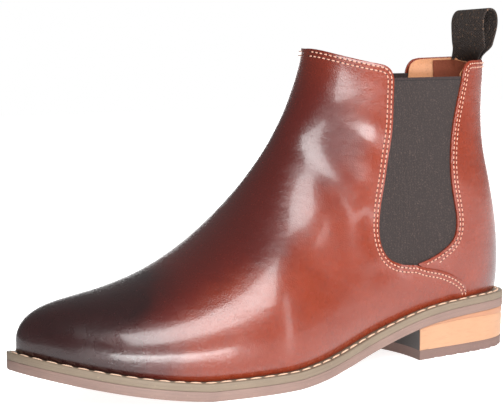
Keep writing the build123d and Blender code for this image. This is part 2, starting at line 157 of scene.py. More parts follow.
def beside(points, d):
    """A line moved d to its right-hand side."""
    run = np.gradient(points, axis=0)
    run /= np.hypot(run[:, 0], run[:, 1])[:, None]
    return points + d * np.stack([run[:, 1], -run[:, 0]], 1)


N_SIDE = 170


def sole_side(widths, sign):
    """One side of the sole's outline from heel to toe, (t, y)."""
    t = np.array(OUTLINE_T, float)
    y = sign * np.array(widths, float) + np.interp(t, SWING_T, SWING)
    run = steps(np.stack([t, y], 1))
    q = np.linspace(0, run[-1], N_SIDE)
    return np.stack([smooth(run, t, q), smooth(run, y, q)], 1)


SIDES = sole_side(LATERAL, -1), sole_side(MEDIAL, 1)
MID_Y = (SIDES[0][:, 1].min() + SIDES[1][:, 1].max()) / 2
LOOP = np.concatenate([SIDES[0], SIDES[1][::-1][1:-1]])
INWARD = np.roll(LOOP, -1, 0) - np.roll(LOOP, 1, 0)
INWARD = np.stack([-INWARD[:, 1], INWARD[:, 0]], 1) / np.hypot(*INWARD.T)[:, None]
FEATHER = LOOP + FEATHER_INSET * INWARD


def feather_width(t, sign):
    """Half width of the upper where it meets the welt."""
    side = FEATHER[:N_SIDE] if sign < 0 else FEATHER[N_SIDE - 1:][::-1]
    order = np.argsort(side[:, 0])
    return abs(np.interp(t, side[order, 0], side[order, 1]) - np.interp(t, SWING_T, SWING))


def station_widths(g):
    """Half widths of a girth, given or found so that it lands on the welt."""
    if g[4]:
        return g[4], g[4]
    s = np.linspace(0, 1, 400)
    t, z = g[0] + (g[2] - g[0]) * s, g[1] + (g[3] - g[1]) * s
    u = s[np.argmin(np.abs(above(t, z) - SEAT))]
    wide = (1 - max(0, (u - g[5]) / (1 - g[5]))**g[7])**(1 / g[7])
    at = g[0] + (g[2] - g[0]) * u
    return feather_width(at, -1) / wide, feather_width(at, 1) / wide


stations = np.array([[*g[:4], *station_widths(g), *g[5:]] for g in GIRTHS])
travel = [steps(stations[:, c:c + 2]) for c in (0, 2)]
V_AT = travel[0] / travel[0][-1] / 2 + travel[1] / travel[1][-1] / 2
FINE = np.linspace(0, 1, 3000)
TABLE = np.stack([smooth(V_AT, stations[:, c], FINE) for c in range(9)], 1)
TABLE[:, 4:6] = np.maximum(TABLE[:, 4:6], 0.05)


def bare(v, th):
    """Outer surface in the frame's millimetres, at v along the boot and th round it."""
    v = np.clip(v, 0, 1)
    ft, fz, bt, bz, lat, med, split, pf, pb = (np.interp(v, FINE, TABLE[:, c]) for c in range(9))
    c, s = np.cos(th), np.sin(th)
    p = np.where(c > 0, pf, pb)
    along = np.abs(c)**(2 / p)
    u = np.where(c > 0, split * (1 - along), split + (1 - split) * along)
    out = np.abs(s)**(2 / p) * np.where(s > 0, -lat, med)
    t, z = ft + (bt - ft) * u, fz + (bz - fz) * u
    return np.stack([LENGTH / 2 - t, np.interp(t, SWING_T, SWING) - MID_Y + out, z], -1)


def normals(v, th):
    """Outward unit normals of the outer surface."""
    a = bare(v + 0.002, th) - bare(v - 0.002, th)
    b = bare(v, th + 0.02) - bare(v, th - 0.02)
    n = np.cross(a, b)
    n /= np.maximum(np.linalg.norm(n, axis=-1), 1e-9)[..., None]
    mid = bare(np.asarray(v), np.zeros_like(th)) / 2 + bare(np.asarray(v), np.full_like(th, pi)) / 2
    facing = np.sum(n * (bare(v, th) - mid), -1)
    return n * np.where(facing < 0, -1, 1)[..., None]


def skin(v, th, depth):
    """Points at a depth below the outer surface."""
    return bare(v, th) - np.asarray(depth)[..., None] * normals(v, th)


NV, NT = ((330, 260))
grid_v = np.repeat(np.linspace(0, 1, NV)[:, None], NT, 1)
grid_th = np.repeat((np.arange(NT) * 2 * pi / NT)[None], NV, 0)
GRID = bare(grid_v, grid_th)
GRID_T, GRID_Z = LENGTH / 2 - GRID[..., 0], GRID[..., 2]
LEVEL = above(GRID_T, GRID_Z)


def lift(th, z):
    """The inner side's top lines sit a little higher than the outer side's."""
    return INNER_RISE * step(0.0, 0.5, -np.sin(th)) * step(118, 150, z)


PATTERN_Z = GRID_Z - lift(grid_th, GRID_Z)


def nearest(t, z, line):
    """Distance from points to an open line, and how far along it the nearest point is."""
    q = np.stack([np.ravel(t), np.ravel(z)], 1)
    line = np.asarray(line, float)
    best = np.full(len(q), 1e9)
    where = np.zeros(len(q))
    at = 0.0
    for a, b in zip(line[:-1], line[1:]):
        d = b - a
        size = np.hypot(*d)
        if size < 1e-6:
            continue
        u = np.clip(((q - a) @ d) / size**2, 0, 1)
        far = np.hypot(*(q - a - u[:, None] * d).T)
        closer = far < best
        best[closer] = far[closer]
        where[closer] = (at + u * size)[closer]
        at += size
    return best.reshape(np.shape(t)), where.reshape(np.shape(t))


def region(*runs):
    """Signed distance of the grid into a closed side-view region."""
    loop = np.concatenate([np.asarray(r, float) for r in runs])
    loop = np.concatenate([loop, loop[:1]])
    far, _ = nearest(GRID_T, PATTERN_Z, loop)
    inside = np.zeros(GRID_T.shape, bool)
    for a, b in zip(loop[:-1], loop[1:]):
        if a[1] != b[1]:
            hit = (a[1] > PATTERN_Z) != (b[1] > PATTERN_Z)
            inside ^= hit & (GRID_T < (b[0] - a[0]) * (PATTERN_Z - a[1]) / (b[1] - a[1]) + a[0])
    return np.where(inside, far, -far)


# ---------------------------------------------------------------- meshes
def link(name, verts, faces, mat, uv=None, sharp=55):
    """A mesh object in the scene, from vertices in millimetres."""
    mesh = bpy.data.meshes.new(name)
    mesh.from_pydata((np.asarray(verts) * MM).tolist(), [], [list(map(int, f)) for f in faces])
    mesh.validate()
    if uv is not None:
        layer = mesh.uv_layers.new(name="run")
        at = np.zeros(len(mesh.loops), int)
        mesh.loops.foreach_get("vertex_index", at)
        layer.data.foreach_set("uv", np.asarray(uv, float)[at].ravel())
    mesh.shade_smooth()
    mesh.set_sharp_from_angle(angle=radians(sharp))
    mesh.materials.append(mat)
    obj = bpy.data.objects.new(name, mesh)
    bpy.context.scene.collection.objects.link(obj)
    return obj


def piece(name, verts, faces, mat, node, slot, body="boot", **more):
    """A mesh that belongs to the boot, with its body and CAD node, in the given material; slot is
    not used.
    """
    obj = link(name, verts, faces, mat, **more)
    if body:
        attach(obj, body)
    if node:
        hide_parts(*([node] if isinstance(node, str) else node))
    return obj


def clip(field):
    """Grid points moved onto the field's zero line, and the faces inside it."""
    f, v, th = field.ravel().copy(), grid_v.ravel().copy(), grid_th.ravel().copy()
    i, j = np.meshgrid(np.arange(NV - 1), np.arange(NT), indexing="ij")
    a, b = i * NT + j, (i + 1) * NT + j
    c, d = (i + 1) * NT + (j + 1) % NT, i * NT + (j + 1) % NT
    ends = np.concatenate([np.stack([a, other], -1).reshape(-1, 2) for other in (b, d, c)])
    fa, fb = f[ends[:, 0]], f[ends[:, 1]]
    ends = ends[fa * fb < 0]
    fa, fb = f[ends[:, 0]], f[ends[:, 1]]
    u = fa / (fa - fb)
    near = np.where(u < 0.5, ends[:, 0], ends[:, 1])
    order = np.argsort(-np.minimum(u, 1 - u))
    turn = (th[ends[:, 1]] - th[ends[:, 0]] + pi) % (2 * pi) - pi
    new_v, new_th = v.copy(), th.copy()
    new_v[near[order]] = (v[ends[:, 0]] + u * (v[ends[:, 1]] - v[ends[:, 0]]))[order]
    new_th[near[order]] = (th[ends[:, 0]] + u * turn)[order]
    g = f.copy()
    g[near] = 0
    tri = np.stack([np.stack([a, b, c], -1), np.stack([a, c, d], -1)], -2)
    keep = (g[tri].min(-1) > -1e-9) & (g[tri].sum(-1) + 0.02 * f[tri].sum(-1) > 0)
    faces = []
    for q, k in zip(tri.reshape(-1, 2, 3), keep.reshape(-1, 2)):
        if k.all():
            faces.append((q[0][0], q[0][1], q[0][2], q[1][2]))
        elif k[0]:
            faces.append(tuple(q[0]))
        elif k[1]:
            faces.append(tuple(q[1]))
    used = sorted({n for face in faces for n in face})
    index = {n: k for k, n in enumerate(used)}
    faces = [tuple(index[n] for n in face) for face in faces]
    return new_v[used], new_th[used], g[used], faces


def layer(name, field, outer, inner, mat, node, slot, edge=0.45, **more):
    """A shell between two depths over the part of the grid where the field is positive."""
    v, th, f, faces = clip(field)
    deep = outer(v, th) if callable(outer) else np.full(len(v), outer)
    deep = deep + edge * (1 - np.clip(f / 1.1, 0, 1))**2
    low = inner(v, th) if callable(inner) else np.full(len(v), inner)
    top, bottom = skin(v, th, deep), skin(v, th, np.maximum(low, deep + 0.3))
    n = len(v)
    a, b, c = (top[[face[k] for face in faces]] for k in range(3))
    if np.sum(np.cross(b - a, c - a) * normals(v, th)[[face[0] for face in faces]]) < 0:
        faces = [face[::-1] for face in faces]
    borders = {(p, q) for face in faces for p, q in zip(face, face[1:] + face[:1])}
    rim = [(q, p, p + n, q + n) for p, q in borders if (q, p) not in borders]
    shell = faces + [tuple(k + n for k in face[::-1]) for face in faces] + rim
    uv = np.tile(np.stack([np.cos(th), v], 1), (2, 1))
    return piece(name, np.concatenate([top, bottom]), shell, mat, node, slot, uv=uv, **more)


def ring(inset, level, t0=-9, t1=320):
    """Sole outline at an inset and a level above the underside."""
    p = LOOP + inset * INWARD
    if t1 < LENGTH:
        wide = [np.interp(t1, *side.T) for side in (p[:N_SIDE], p[N_SIDE:][::-1])]
        p[:, 1] = np.clip(p[:, 1], *wide)
    t = np.clip(p[:, 0], t0, t1)
    z = under(t) + (level(t) if callable(level) else level)
    return np.stack([LENGTH / 2 - t, p[:, 1] - MID_Y, z], 1)


def spine(inset, level, share, t0=-9, t1=320):
    """A ring drawn in towards the centre line."""
    p = ring(inset, level, t0, t1)
    mid = np.interp(LENGTH / 2 - p[:, 0], SWING_T, SWING) - MID_Y
    p[:, 1] += (mid - p[:, 1]) * share
    return p


def stack(rings, closed):
    """Quads between rings of equal count; closed joins the last ring to the first."""
    n, m = len(rings[0]), len(rings)
    faces = []
    for k in range(m if closed else m - 1):
        a, b = k * n, (k + 1) % m * n
        faces += [(a + i, a + (i + 1) % n, b + (i + 1) % n, b + i) for i in range(n)]
    verts = np.concatenate(rings)
    along = steps(rings[0])
    rise = steps([r[0] for r in rings])
    uv = np.stack(np.broadcast_arrays(along[None], rise[:, None]), -1).reshape(-1, 2) * MM
    return verts, faces, uv


# ---------------------------------------------------------------- materials
# metres; a pair says where something fades in and where it is full
# the front ridge's darkening is partly burnish and partly a painted dark reflection of the
# surroundings
TOE_BURNISH, HEEL_BURNISH, RIDGE_BURNISH_AND_DARK_REFLECTION = (-0.062, -0.128), (0.108, 0.15), (0.185, 0.12)
HEEL_BURNISH_TOP, HEEL_BURNISH_FOOT = (0.085, 0.045), (0.02, 0.04)
BINDING = 0.1553       # the gore's bound top edge starts here
RIB, RIB_ROW = 0.00105, 0.00085
WEFT, WARP = 0.0013, 0.0016
TWIST = 0.0007
BREAST, FLANK, MIDDLE = (0.0815, 0.0795), (0.0335, 0.0325), 0.002


def lin(r, g, b):
    """Screen colour 0-255 as a linear colour."""
    return [((c / 255 + 0.055) / 1.055)**2.4 if c > 10 else c / 3295 for c in (r, g, b)] + [1]


def shade(colour, by):
    """A screen colour made darker or lighter, as a linear colour."""
    return lin(*(c * by for c in colour))


class Finish:
    """A node material with a few shorthands."""

    def __init__(self, name, rough=0.5, **sockets):
        self.m = bpy.data.materials.new(name)
        self.m.use_nodes = True
        self.t = self.m.node_tree
        self.b = self.t.nodes["Principled BSDF"]
        self.b.inputs["Roughness"].default_value = rough
        for key, value in sockets.items():
            self.b.inputs[key.replace("_", " ")].default_value = value
        at = self.t.nodes.new("ShaderNodeTexCoord")
        self.at, self.uv = at.outputs["Object"], at.outputs["UV"]

    def join(self, value, socket):
        if isinstance(value, bpy.types.NodeSocket):
            self.t.links.new(value, socket)
        else:
            socket.default_value = value

    def math(self, kind, a, b=0.0, clamp=False):
        n = self.t.nodes.new("ShaderNodeMath")
        n.operation, n.use_clamp = kind, clamp
        self.join(a, n.inputs[0])
        self.join(b, n.inputs[1])
        return n.outputs[0]

    def times(self, a, b):
        return self.math("MULTIPLY", a, b)

    def plus(self, a, b):
        return self.math("ADD", a, b)

    def wave(self, x, length):
        return self.math("SINE", self.times(x, 2 * pi / length))

    def scale(self, by, where=None):
        n = self.t.nodes.new("ShaderNodeVectorMath")
        n.operation = "MULTIPLY"
        self.join(where or self.at, n.inputs[0])
        n.inputs[1].default_value = by
        return n.outputs[0]

    def split(self, where=None):
        n = self.t.nodes.new("ShaderNodeSeparateXYZ")
        self.join(where or self.at, n.inputs[0])
        return n.outputs

    def noise(self, size, where=None, detail=3.0, rough=0.55):
        n = self.t.nodes.new("ShaderNodeTexNoise")
        self.join(where or self.at, n.inputs["Vector"])
        n.inputs["Scale"].default_value = size
        n.inputs["Detail"].default_value = detail
        n.inputs["Roughness"].default_value = rough
        return n.outputs["Fac"]

    def cells(self, size, where=None):
        n = self.t.nodes.new("ShaderNodeTexVoronoi")
        self.join(where or self.at, n.inputs["Vector"])
        n.inputs["Scale"].default_value = size
        return n.outputs["Distance"]

    def fit(self, x, low, high, a=0.0, b=1.0):
        n = self.t.nodes.new("ShaderNodeMapRange")
        n.interpolation_type = "SMOOTHSTEP"
        self.join(x, n.inputs["Value"])
        for key, value in zip(("From Min", "From Max", "To Min", "To Max"), (low, high, a, b)):
            n.inputs[key].default_value = value
        return n.outputs["Result"]

    def mix(self, share, a, b):
        n = self.t.nodes.new("ShaderNodeMix")
        n.data_type = "RGBA"
        self.join(share, n.inputs[0])
        self.join(a, n.inputs[6])
        self.join(b, n.inputs[7])
        return n.outputs[2]

    def bump(self, height, deep, strength=1.0, under=None):
        n = self.t.nodes.new("ShaderNodeBump")
        n.inputs["Strength"].default_value = strength
        n.inputs["Distance"].default_value = deep
        self.join(height, n.inputs["Height"])
        if under is not None:
            self.join(under, n.inputs["Normal"])
        return n.outputs["Normal"]

    def done(self, colour, normal=None, rough=None):
        self.join(colour, self.b.inputs["Base Color"])
        if normal is not None:
            self.join(normal, self.b.inputs["Normal"])
        if rough is not None:
            self.join(rough, self.b.inputs["Roughness"])
        return self.m


def upper_leather():
    """Tan calf, burnished dark at the toe and low at the heel; darker along the front ridge, partly
    burnish and partly painted dark reflection.
    """
    f = Finish("upper_leather", 0.3, Coat_Weight=0.5, Coat_Roughness=0.13)
    x, _, z = f.split()
    patch = f.math("SUBTRACT", f.noise(26), 0.5)
    toe = f.times(f.fit(f.plus(x, f.times(patch, 0.05)), *TOE_BURNISH), 0.93)
    back = f.fit(f.plus(x, f.times(patch, 0.03)), *HEEL_BURNISH)
    back = f.times(back, f.times(f.fit(z, *HEEL_BURNISH_TOP), f.fit(z, *HEEL_BURNISH_FOOT)))
    crown = f.plus(f.split(f.uv)[0], f.times(patch, 0.5))
    # darker along the front ridge: burnish plus painted dark reflection
    ridge_burnish_and_reflection = f.times(f.fit(crown, 0.35, 0.95), f.fit(z, *RIDGE_BURNISH_AND_DARK_REFLECTION, 0.3, 0.62))
    dark = f.math("ADD", f.plus(toe, f.times(back, 0.65)), ridge_burnish_and_reflection, True)
    tan = f.mix(f.noise(60, detail=5.0), lin(132, 47, 20), lin(110, 36, 16))
    tan = f.mix(f.fit(f.noise(420, detail=4.0), 0.5, 0.8, 0, 0.5), tan, lin(90, 29, 15))
    wine = f.mix(f.noise(45), lin(46, 13, 13), lin(24, 9, 10))
    colour = f.mix(f.fit(dark, 0.0, 0.55), tan, lin(80, 20, 13))
    colour = f.mix(f.fit(dark, 0.4, 1.0), colour, wine)
    grain = f.plus(f.times(f.cells(1500), 0.6), f.times(f.noise(900, detail=4.0), 0.7))
    normal = f.bump(grain, 0.00022, 0.45)
    normal = f.bump(f.noise(55, f.scale((1, 1, 2)), detail=2.0), 0.0011, 0.35, normal)
    rough = f.plus(0.2, f.times(f.noise(140, detail=4.0), 0.14))
    return f.done(colour, normal, rough)


def plain_leather(name, a, b, size=700, rough=0.55, deep=0.0002):
    """Two tones with a fine grain; also used for cloth, fibre and metal out of sight."""
    f = Finish(name, rough)
    colour = f.mix(f.noise(50, detail=5.0), lin(*a), lin(*b))
    colour = f.mix(f.fit(f.noise(size, detail=3.0), 0.5, 0.75, 0, 0.35), colour, shade(b, 0.7))
    return f.done(colour, f.bump(f.cells(size * 1.6), deep, 0.5))


def elastic():
    """Ribbed gore elastic with a bound top edge."""
    f = Finish("elastic", 0.85)
    x, _, z = f.split()
    ribs, rows = f.wave(x, RIB), f.wave(z, RIB_ROW)
    weave = f.times(ribs, rows)
    height = f.plus(f.times(ribs, 0.7), f.times(weave, 0.6))
    bound = f.fit(z, BINDING - 0.0002, BINDING)
    groove = f.times(f.fit(z, BINDING - 0.0004, BINDING),
                     f.fit(z, BINDING + 0.0004, BINDING + 0.0001))
    fleck = f.noise(1300, detail=2.0)
    colour = f.mix(f.fit(weave, -0.6, 1.0), lin(28, 21, 20), lin(54, 43, 41))
    colour = f.mix(f.fit(fleck, 0.5, 0.72, 0, 0.45), colour, lin(92, 74, 68))
    colour = f.mix(f.times(bound, 0.55), colour, lin(50, 34, 34))
    colour = f.mix(f.times(groove, 0.9), colour, lin(14, 10, 10))
    return f.done(colour, f.bump(height, 0.00025, 0.6))


def webbing():
    """Plain weave with a few lighter threads."""
    f = Finish("webbing", 0.8)
    u, v, _ = f.split(f.uv)
    weave = f.times(f.wave(u, WEFT), f.wave(v, WARP))
    speck = f.fit(f.noise(900, f.scale((1, 0.5, 1), f.uv), detail=1.0), 0.62, 0.7)
    colour = f.mix(f.fit(weave, -0.8, 0.9), lin(14, 10, 9), lin(66, 49, 40))
    colour = f.mix(f.times(speck, 0.45), colour, lin(150, 112, 84))
    return f.done(colour, f.bump(weave, 0.0004, 0.9))


def edge_rubber(name, a, b, rough=0.62):
    """Rubber with fine lines along its edge."""
    f = Finish(name, rough)
    lines = f.noise(1.0, f.scale((25, 2600, 1), f.uv), detail=4.0)
    colour = f.mix(f.noise(70, detail=4.0), lin(*a), lin(*b))
    colour = f.mix(f.fit(lines, 0.45, 0.75, 0, 0.4), colour, shade(b, 0.72))
    colour = f.mix(f.fit(f.noise(600), 0.62, 0.75, 0, 0.25), colour, shade(a, 1.25))
    return f.done(colour, f.bump(lines, 0.00012, 0.55))


def stacked(name, a, b):
    """Stacked heel leather, dark on the breast."""
    f = Finish(name, 0.5)
    x, y, _ = f.split()
    grain = f.noise(1.0, f.scale((140, 140, 900)), detail=5.0, rough=0.65)
    colour = f.mix(f.noise(40, detail=5.0), lin(*a), lin(*b))
    colour = f.mix(f.fit(grain, 0.5, 0.8, 0, 0.4), colour, shade(b, 0.78))
    flank = f.math("ABSOLUTE", f.plus(y, -MIDDLE))
    breast = f.times(f.fit(x, *BREAST), f.fit(flank, *FLANK))
    colour = f.mix(breast, colour, lin(38, 24, 19))
    return f.done(colour, f.bump(grain, 0.0002, 0.5))


def thread(name, a, b):
    """Twisted thread."""
    f = Finish(name, 0.6)
    x, _, z = f.split()
    twist = f.wave(f.plus(x, z), TWIST)
    colour = f.mix(f.noise(900), lin(*a), lin(*b))
    colour = f.mix(f.fit(twist, -1, 0, 0.35, 0), colour, shade(b, 0.6))
    return f.done(colour, f.bump(twist, 0.00008, 0.6))


LEATHER = upper_leather()
LINING = plain_leather("lining_leather", (214, 150, 104), (196, 128, 84))
GRIP = plain_leather("grip_leather", (136, 66, 38), (112, 50, 30), 900, 0.85, 0.0003)
SOCK = plain_leather("sock_leather", (206, 150, 108), (186, 128, 88), 600)
ELASTIC, WEBBING = elastic(), webbing()
WELT = edge_rubber("welt_rubber", (132, 116, 98), (112, 97, 82))
SOLE = edge_rubber("sole_rubber", (140, 114, 104), (120, 97, 89))
HEEL_MAT = stacked("heel_leather", (190, 146, 114), (172, 126, 94))
WEDGE = stacked("wedge_leather", (178, 128, 98), (160, 110, 82))
TREAD = edge_rubber("top_rubber", (124, 98, 90), (104, 82, 76), 0.7)
THREAD = thread("upper_thread", (224, 178, 156), (196, 138, 116))
WELT_THREAD = thread("welt_thread", (244, 214, 188), (226, 180, 150))
# dark discs at the needle holes: painted shade, the holes themselves are not cut
HOLE_SHADE = plain_leather("needle_hole_shade", (38, 16, 14), (24, 10, 10))
HIDDEN = {
    "vamp_backer": plain_leather("backing_cloth", (206, 198, 182), (188, 178, 160), 1400, 0.9),
    "toe_puff": plain_leather("stiffener", (224, 214, 190), (206, 194, 170), 500, 0.8),
    "heel_counter": plain_leather("stiffener_back", (224, 214, 190), (206, 194, 170), 500, 0.8),
    "insole_board": plain_leather("insole_fibre", (150, 118, 88), (128, 98, 72), 900, 0.9),
    "bottom_filler": plain_leather("filler_cork", (150, 108, 70), (110, 74, 46), 260, 0.95),
    "shank": plain_leather("shank_steel", (150, 150, 152), (128, 130, 134), 300, 0.35),
    "heel_nails": plain_leather("nail_steel", (162, 158, 150), (140, 136, 130), 300, 0.35),
}
for name, mat in HIDDEN.items():
    for k in range(len(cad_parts[name].material_slots)):
        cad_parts[name].material_slots[k].material = mat

# ---------------------------------------------------------------- upper
seam, gore_front, gore_back = curve(SEAM), curve(GORE_FRONT), curve(GORE_BACK)
vamp_top, quarter_top = curve(VAMP_TOP), curve(QUARTER_TOP)
above_seat = LEVEL - SEAT + 0.3
vamp_field = region(seam, gore_front[1:], vamp_top[1:],
                    ((150, FAR_Z), (FAR_T, FAR_Z), (FAR_T, LOW_Z), (40.5, LOW_Z)))
quarter_field = region(seam, gore_back[1:], quarter_top[1:], ((BACK_T, LOW_Z), (40.5, LOW_Z)))


def swell(v, th):
    """Raised edge over the back seam, walking creases and soft unevenness of the vamp."""
    p = bare(v, th)
    t, z = LENGTH / 2 - p[..., 0], p[..., 2]
    lap = 0.7 * (1 - step(4, 13, nearest(t, z, seam)[0]))
    far, run = nearest(t, z, curve(CREASE))
    fold = 0.55 * np.exp(-(far / 7.0)**2) * step(0, 20, run) * step(0, 16, 80 - run)
    hollow = 0.8 * np.exp(-(np.hypot(t - 104, (z - 52) * 1.6) / 11)**2)
    wave = 0.08 * np.sin(t / 9.0 + z / 17.0) * np.sin(z / 11.0 - t / 23.0)
    calm = step(12, 30, above(t, z)) * step(2, 14, nearest(t, z, gore_front)[0])
    return -(lap + fold - hollow * 0.5 + wave * calm)


layer("vamp_upper", np.minimum(vamp_field, above_seat), swell, LEATHER_BACK, LEATHER,
      "vamp", "upper_leather")
layer("quarter_upper", np.minimum(quarter_field, above_seat), QUARTER_FACE, LEATHER_BACK, LEATHER,
      "back_quarter", "upper_leather")

front_hidden = beside(gore_front[1:], 7)
back_hidden = beside(gore_back[1:], -7)
gore_top = ((front_hidden[-1][0] - 1, GORE_TOP), (back_hidden[-1][0], GORE_TOP))
gore_field = region(((81, 46.5),), front_hidden, gore_top, back_hidden[::-1])
lateral_side = np.minimum(1, (pi / 2 - np.abs(grid_th - pi / 2)) * 40)
for name, side in (("gore_lateral", lateral_side), ("gore_medial", -lateral_side)):
    layer(name + "_elastic", np.minimum(gore_field, side), GORE_FACE, GORE_REAR, ELASTIC,
          name, "elastic", edge=0.3)

# ---------------------------------------------------------------- linings
lining_field = region(((84, LOW_Z), (84, 44), (97, 46)), beside(gore_front[2:], 3),
                      curve(VAMP_LINING_TOP), ((FAR_T, 180), (FAR_T, LOW_Z)))
quarter_lining_field = region(((83.5, LOW_Z), (83.5, 44), (70, 48)),
                              beside(gore_back[1:], -1.6), curve(QUARTER_LINING_TOP),
                              ((BACK_T, LOW_Z),))
grip_field = region(((BACK_T, 50), (20, 46)), curve(GRIP_FRONT), ((BACK_T, 164.6),))


def hug(v, th):
    """Linings lie against the leather at the collar and behind the stiffeners lower down."""
    x, y, z = np.moveaxis(bare(v, th), -1, 0)
    behind = STIFFENER * step(120, 130, x) * (1 - step(13.5, 16.5, np.abs(y))) * step(140, 150, z)
    low = STIFFENER * (1 - step(157.5, 162.5, z - lift(th, z)))
    return LINING_FACE + np.maximum(behind, low)


def deeper(by):
    return lambda v, th: hug(v, th) + by


above_insole = LEVEL - SEAT - 0.4
for name, field in (("vamp_lining", lining_field),
                    ("quarter_lining_lateral", np.minimum(quarter_lining_field, lateral_side)),
                    ("quarter_lining_medial", np.minimum(quarter_lining_field, -lateral_side))):
    layer(name + "_leather", np.minimum(field, above_insole), hug, deeper(LINING_THICK), LINING,
          name, "lining_leather", edge=0.2)
layer("heel_grip_suede", grip_field, deeper(0.9), deeper(1.6), GRIP, "heel_grip", "grip_leather",
      edge=0.2)


# ---------------------------------------------------------------- stitching
def row(field, line, offset, mirror, start=0.0, floor=1.2, gap=2.0):
    """Ordered (v, th) along the line where the field equals offset, on one side of the boot."""
    f = field - offset
    i, j = np.meshgrid(np.arange(NV - 1), np.arange(NT), indexing="ij")
    found = []
    for di, dj in ((1, 0), (0, 1)):
        k, m = i + di, (j + dj) % NT
        fa, fb = f[i, j], f[k, m]
        hit = fa * fb < 0
        u = fa[hit] / (fa[hit] - fb[hit])
        turn = dj * 2 * pi / NT
        found.append(np.stack([grid_v[i, j][hit] + u * (grid_v[k, m] - grid_v[i, j])[hit],
                               grid_th[i, j][hit] + u * turn], 1))
    q = np.concatenate(found)
    q = q[(np.sin(q[:, 1]) > 0.02) if not mirror else (np.sin(q[:, 1]) < -0.02)]
    p = bare(q[:, 0], q[:, 1])
    t, z = LENGTH / 2 - p[:, 0], p[:, 2]
    far, at = nearest(t, z - lift(q[:, 1], z), line)
    length = steps(line)[-1]
    good = (far < offset * 1.25 + 0.4) & (above(t, z) - SEAT > floor)
    good &= (at > start) & (at < length - 0.5)
    q, at = q[good], at[good]
    order = np.argsort(at)
    q, at = q[order], np.round(at[order] / gap)
    return np.array([q[at == b].mean(0) for b in np.unique(at)])


# one stitch: share of its length, radius, height
STITCH = ((-.5, .25, -.28), (-.4, .8, -.05), (-.15, 1, .1), (.15, 1, .1), (.4, .8, -.05),
          (.5, .25, -.28))


def stitches(rows, pitch, depth, long=0.7, wide=0.37, high=0.28):
    """Thread meshes along rows of (v, th), with dark discs of painted shade at the needle holes."""
    bar = [(x, r * wide * np.cos(a), r * high * np.sin(a) + dip) for x, r, dip in STITCH
           for a in np.arange(6) * pi / 3]
    bar_faces = [(6 * k + a, 6 * k + (a + 1) % 6, 6 * k + 6 + (a + 1) % 6, 6 * k + 6 + a)
                 for k in range(5) for a in range(6)]
    bar_faces += [tuple(range(6))[::-1], tuple(range(30, 36))]
    # a flat dark disc at each needle hole is painted shade
    shade_dot = [(0.36 * np.cos(a), 0.42 * np.sin(a), 0.06) for a in np.arange(8) * pi / 4]
    thread_v, thread_f, hole_shade_v, hole_shade_f = [], [], [], []
    for q in rows:
        fine = np.linspace(0, len(q) - 1, len(q) * 12)
        v, th = np.interp(fine, range(len(q)), q[:, 0]), np.interp(fine, range(len(q)), q[:, 1])
        off = depth(v, th)
        p = skin(v, th, off)
        n = normals(v, th)
        run = steps(p)
        count = int(run[-1] / pitch)
        for k in range(count):
            at = (k + 0.5) * run[-1] / count
            spots = (p, 0), (n, 0), (p, -0.8), (p, 0.8), (p, run[-1] / count / 2)
            o, m, a, b, w = (np.array([np.interp(at + d, run, x[:, c]) for c in range(3)])
                             for x, d in spots)
            x = (b - a) / max(np.linalg.norm(b - a), 1e-6)
            m = m - x * (m @ x)
            m /= np.linalg.norm(m)
            y = np.cross(m, x)
            for store, faces, shape, plan, c in ((thread_v, thread_f, bar, bar_faces, o),
                                                 (hole_shade_v, hole_shade_f, shade_dot, [tuple(range(8))], w)):
                base = len(store)
                size = pitch * long if shape is bar else 1
                store += [c + x * s * size + y * r + m * h for s, r, h in shape]
                faces += [tuple(base + i for i in face) for face in plan]
    return (thread_v, thread_f), (hole_shade_v, hole_shade_f)


vamp_line = np.concatenate([seam, gore_front[1:], vamp_top[1:]])
quarter_line = np.concatenate([gore_back, quarter_top[1:]])
vamp_rows = [row(vamp_field, vamp_line, off, side) for off in SEAM_ROWS for side in (False, True)]
quarter_rows = [row(quarter_field, quarter_line, off, side, 6.0)
                for off in SEAM_ROWS for side in (False, True)]
for name, rows, depth in (("vamp_stitching", vamp_rows, swell),
                          ("quarter_stitching", quarter_rows,
                           lambda v, th: np.full(len(v), QUARTER_FACE))):
    sewn, hole_shades = stitches([q for q in rows if len(q) > 3], SEAM_PITCH, depth)
    piece(name, *sewn, THREAD, None, "upper_leather")
    piece(name + "_holes", *hole_shades, HOLE_SHADE, None, "upper_leather")

# ---------------------------------------------------------------- sole and heel
# (inset, level) round the welt's section, with the stitch groove on top
WELT_SECTION = ((8.5, OUTSOLE), (0.35, OUTSOLE), (0.08, 5.12), (0, 5.4), (0, 8.3), (0.12, 8.72),
                (0.45, 8.95), (0.9, SEAT), (2.0, SEAT), (2.15, 8.5), (2.4, 8.3), (3.4, 8.3),
                (3.65, 8.5), (3.8, SEAT), (5.2, SEAT), (8.5, SEAT))
SOLE_SECTION = ((9, OUTSOLE), (0.4, 4.98), (0.1, 4.86), (0, 4.6), (0, 0.5), (0.12, 0.15),
                (0.5, 0.0), (2, 0.0), (7, 0.0))
verts, faces, uv = stack([ring(*p) for p in WELT_SECTION], True)
piece("welt_strip", verts, faces, WELT, "welt", "welt_rubber", uv=uv)
underside = [spine(7, 0.0, share) for share in (0.2, 0.45, 0.75, 1.0)]
verts, faces, uv = stack([ring(*p) for p in SOLE_SECTION] + underside, False)
piece("outsole_rubber", verts, faces, SOLE, "outsole", "sole_rubber", uv=uv)


def slab(name, inset, low, high, mat, node, slot, t0=-9, t1=320):
    """A sheet inside the boot between two levels, with a rounded upper edge."""
    def edge(t):
        return np.maximum(high(t) - 0.3, low(t))

    plan = ((1, low, 1.0), (0.5, low, 0), (0, low, 0), (0, edge, 0), (0.4, high, 0), (2, high, 0),
            (2, high, 0.5), (2, high, 1.0))
    verts, faces, uv = stack([spine(inset + more, at, share, t0, t1) for more, at, share in plan],
                             False)
    return piece(name, verts, faces, mat, node, slot, uv=uv)


